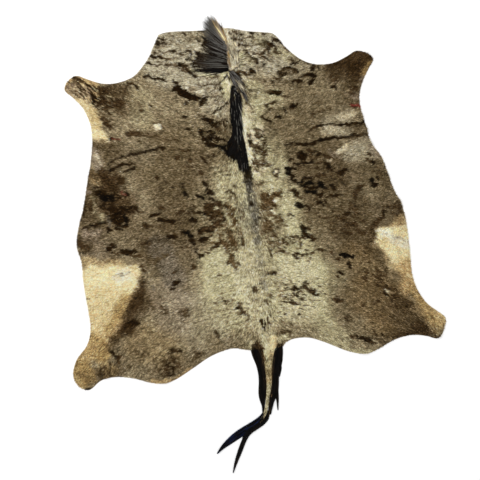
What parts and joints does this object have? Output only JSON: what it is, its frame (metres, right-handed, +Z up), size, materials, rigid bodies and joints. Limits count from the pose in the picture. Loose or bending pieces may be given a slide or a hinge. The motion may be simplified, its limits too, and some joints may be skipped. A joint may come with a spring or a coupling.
{
  "type": "wildebeest skin rug",
  "caption": "Flat tanned antelope hide with its short coat on, leg stubs at its corners, a dark mane lying along the neck and spine, and a haired tail with a forked tuft.",
  "frame": {"origin": "on the spine at mid back, on the flat face that lies on the floor", "axes": "+Y along the spine towards the neck, +X to the right of the hide seen from above, +Z up out of the coat"},
  "size_m": [1.599, 1.9223, 0.0159],
  "materials": {
    "hide_coat": "short lying coat, khaki brown with dark brindle marks, matte",
    "mane_hair": "long coarse black hair with grey and cream strands, soft sheen",
    "tail_hair": "long black hair, soft sheen"
  },
  "bodies": {
    "root": {"hide": "hide_coat", "mane_crest": "mane_hair", "mane_band": "mane_hair", "tail_hair_left": "tail_hair", "tail_hair_right": "tail_hair", "tail_tuft": "tail_hair"}
  },
  "joints": []
}
